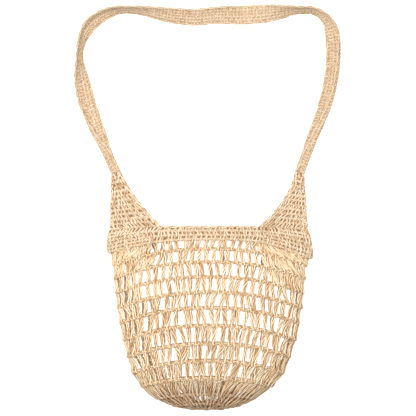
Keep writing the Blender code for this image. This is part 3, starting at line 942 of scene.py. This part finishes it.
def straw(name, deep, middle, pale, crevice_shade_colour, crevice_size=0.0024, low=None):
    """Twisted straw yarn: fibres that run round each strand, strands of several shades, painted shade in the crevices
    and a dry sheen. low is what the colour is multiplied by towards the base: painted shade where the wall turns
    under away from the lamps, with the crevices' painted shade deeper there."""
    material, tree, shader = new_material(
        name, Roughness=0.62, Specular_IOR_Level=0.35, Sheen_Weight=0.12, Sheen_Roughness=0.5
    )
    fibre = attribute(tree, "fibre").outputs["Vector"]
    tone = attribute(tree, "tone").outputs["Fac"]
    grain = added(tree, "Mapping", Vector=fibre, Scale=FIBRE_GRAIN).outputs["Vector"]
    streaks = added(tree, "TexNoise", Vector=grain, Scale=1.0, Detail=4, Roughness=0.65).outputs["Fac"]
    patch_grain = added(tree, "Mapping", Vector=fibre, Scale=PATCH_GRAIN).outputs["Vector"]
    patches = added(tree, "TexNoise", Vector=patch_grain, Scale=1.0, Detail=1).outputs["Fac"]
    shade = calculated(tree, "MULTIPLY_ADD", tone, TONE_SHARE, patches)
    shade = calculated(tree, "MULTIPLY_ADD", streaks, STREAK_SHARE, shade)
    shade = calculated(tree, "MULTIPLY", shade, SHADE_SCALE)
    colour = ramp_colour(tree, shade, tuple(zip(SHADE_STOPS, (deep, middle, pale))))
    # Painted shade in the crevices: where ambient occlusion finds little open air near a point, the colour is
    # darkened towards the crevice colour.
    occlusion = added(tree, "AmbientOcclusion", Distance=crevice_size)
    occlusion.samples = 5
    hollow = added(
        tree, "MapRange", Value=occlusion.outputs["AO"], From_Min=OPEN_SHARE[0], From_Max=OPEN_SHARE[1], To_Min=1,
        To_Max=0
    ).outputs["Result"]
    colour = multiplied(tree, hollow, colour, crevice_shade_colour)
    # Painted shade towards the base, where the wall turns under away from the lamps: by place along Y the colour is
    # darkened, and its crevices more so.
    if low:
        along = added(tree, "SeparateXYZ", Vector=added(tree, "TexCoord").outputs["Object"]).outputs["Y"]
        base_shade_share = added(tree, "MapRange", Value=along, From_Min=LOW_SHADE[0], From_Max=LOW_SHADE[1]).outputs["Result"]
        colour = multiplied(tree, base_shade_share, colour, low)
        colour = multiplied(tree, calculated(tree, "MULTIPLY", base_shade_share, hollow), colour, BASE_CREVICE_SHADE)
    bump = added(tree, "Bump", Strength=0.35, Distance=0.0004, Height=streaks)
    connect(tree, shader, {"Base Color": colour, "Normal": bump.outputs["Normal"]})
    return material


def shaded_ground(name, colour):
    """A dark sheet of painted shade for the inside of the close crochet, which shows only in its pinholes."""
    material, tree, shader = new_material(name, Roughness=0.9, Specular_IOR_Level=0.1)
    where = added(tree, "TexCoord").outputs["Object"]
    noise = added(tree, "TexNoise", Vector=where, Scale=240, Detail=3).outputs["Fac"]
    darker, lighter = (tuple(share * c for c in colour) for share in (0.7, 1.3))
    connect(tree, shader, {"Base Color": ramp_colour(tree, noise, ((0, darker), (1, lighter)))})
    return material


# ---------------- camera, light and floor

SENSOR_WIDTH = 36
CAMERA_HEIGHT = 9.0
VIEW_HEIGHT = 0.03  # of the level that is seen at the view's width
VIEW_WIDTH = 0.6032
VIEW_CENTRE = (0.00073, -0.00145)
SKY = (1, 0.97, 0.925, 1)
SKY_STRENGTH = 0.4
LAMP_SIZE = 1.5
LAMP_COLOUR = (1, 0.98, 0.95)
LAMPS = {"key": ((-0.25, 0.6, 2.15), 48), "fill": ((-1.1, 0.5, 1.7), 8)}  # places, and watts
FLOOR_REACH = 6.0
FLOOR_COLOUR = (0.68, 0.6, 0.5, 1)
FLOOR_GLOW = 0.2
CAMERA_GLOW = 0.73  # added to it for what the camera sees, so the floor is white and lights the bag only softly


def camera_and_light():
    scene = bpy.context.scene
    data = bpy.data.cameras.new("camera")
    data.sensor_width = SENSOR_WIDTH
    data.lens = SENSOR_WIDTH * (CAMERA_HEIGHT - VIEW_HEIGHT) / VIEW_WIDTH
    data.clip_start = 0.1
    data.clip_end = 60
    camera = bpy.data.objects.new("camera", data)
    camera.location = (*VIEW_CENTRE, CAMERA_HEIGHT)
    scene.collection.objects.link(camera)
    scene.camera = camera
    scene.view_settings.view_transform = "Standard"
    world = bpy.data.worlds.new("studio")
    world.use_nodes = True
    connect(world.node_tree, world.node_tree.nodes["Background"], {"Color": SKY, "Strength": SKY_STRENGTH})
    scene.world = world
    for name, (place, power) in LAMPS.items():
        light = bpy.data.lights.new(name, "AREA")
        light.shape = "DISK"
        light.size = LAMP_SIZE
        light.energy = power
        light.color = LAMP_COLOUR
        lamp = bpy.data.objects.new(name, light)
        lamp.location = place
        lamp.rotation_mode = "QUATERNION"
        lamp.rotation_quaternion = Vector(place).to_track_quat("Z", "Y")
        scene.collection.objects.link(lamp)


def floor():
    mesh = bpy.data.meshes.new("floor")
    corners = [(x * FLOOR_REACH, y * FLOOR_REACH, 0) for x, y in ((-1, -1), (1, -1), (1, 1), (-1, 1))]
    mesh.from_pydata(corners, [], [(0, 1, 2, 3)])
    material, tree, shader = new_material(
        "light_table", Base_Color=FLOOR_COLOUR, Roughness=0.9, Emission_Color=(1, 1, 1, 1)
    )
    seen = added(tree, "LightPath").outputs["Is Camera Ray"]
    glow = calculated(tree, "MULTIPLY_ADD", seen, CAMERA_GLOW, FLOOR_GLOW)
    connect(tree, shader, {"Emission Strength": glow})
    mesh.materials.append(material)
    obj = bpy.data.objects.new("floor", mesh)
    bpy.context.scene.collection.objects.link(obj)


# ---------------- putting it together

camera_and_light()
floor()

# Painted shade: what a straw's colour is multiplied by in its crevices, and towards the base.
CREVICE_SHADE = (0.60, 0.35, 0.16)
DEEP_CREVICE_SHADE = (0.47, 0.27, 0.125)
SOFT_CREVICE_SHADE = (0.69, 0.51, 0.35)
FAINT_CREVICE_SHADE = (0.75, 0.57, 0.41)
BASE_SHADE = (0.81, 0.75, 0.72)

net_straw = straw(
    "net_straw", (0.60, 0.37, 0.18), (0.91, 0.74, 0.50), (0.99, 0.91, 0.72), CREVICE_SHADE, 0.0028, BASE_SHADE
)
line_straw = straw(
    "line_straw", (0.60, 0.37, 0.18), (0.91, 0.74, 0.50), (0.98, 0.90, 0.70), DEEP_CREVICE_SHADE, 0.002, BASE_SHADE
)
base_straw = straw(
    "base_straw", (0.60, 0.37, 0.17), (0.90, 0.70, 0.46), (0.98, 0.87, 0.65), DEEP_CREVICE_SHADE, 0.005, BASE_SHADE
)
band_straw = straw("band_straw", (0.56, 0.37, 0.21), (0.81, 0.655, 0.47), (0.91, 0.815, 0.665), SOFT_CREVICE_SHADE)
# The strap's straw is darker than the band's: partly its own tone, partly painted shade for its sloping sides, which
# the lamps light less.
strap_straw = straw("strap_straw", (0.56, 0.38, 0.23), (0.705, 0.56, 0.40), (0.785, 0.685, 0.545), FAINT_CREVICE_SHADE)
# Dark grounds under the close stitches: painted shade seen through the pinholes.
band_shade = shaded_ground("pinhole_shade", (0.3, 0.18, 0.095))
strap_shade = shaded_ground("strap_shade", (0.52, 0.35, 0.19))


def worked(name, make, material, slot, *arguments):
    """A piece of yarn of its own, which make fills."""
    yarn = Yarn()
    make(yarn, *arguments)
    return yarn.piece(name, material, slot)


front_posts, back_posts, lines = net()
base = net_foot()
net_front = front_posts.piece("net_front_posts", net_straw, "net_yarn")
net_back = back_posts.piece("net_back_posts", net_straw, "net_yarn")
net_lines = lines.piece("net_row_lines", line_straw, "net_yarn")
net_base = base.piece("net_base", base_straw, "net_yarn")
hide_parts("net_pouch")

band_stitches = worked("band_stitches", band, band_straw, "band_yarn")
flares = [
    worked(name, flare, band_straw, "band_yarn", side)
    for name, side in (("left_flare_stitches", -1), ("right_flare_stitches", 1))
]
edge_cords = worked("mouth_edge_cords", edges, band_straw, "band_yarn")
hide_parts("band_and_flares")

thirds = [-1.0 + (STRAP_LENGTH + 2.0) * k / 3 for k in range(4)]
strap_pieces = [
    worked(name, strap_part, strap_straw, "strap_yarn", start, end)
    for name, start, end in zip(("strap_left", "strap_top", "strap_right"), thirds, thirds[1:])
]
strap_pieces.append(worked("strap_edge_cords", strap_edges, strap_straw, "strap_yarn"))
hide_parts("strap")

round_shares = np.linspace(0, 1, 201)
band_grid = np.stack([wall(at, round_shares) for at in np.linspace(11.06, 11.97, 6)])
flare_grids = [np.stack([flare_section(side, up) for up in np.linspace(-0.02, 1, 16)]) for side in (-1, 1)]
band_ground = ground("band_ground", [band_grid, *flare_grids], band_shade)
across_strap = np.linspace(0.4, STRAP_WIDTH - 0.4, 25)
strap_grid = np.stack([strap_wall(at, across_strap) for at in np.linspace(-1.5, STRAP_LENGTH + 1.5, 181)])
strap_ground = ground("strap_ground", [strap_grid], strap_shade)
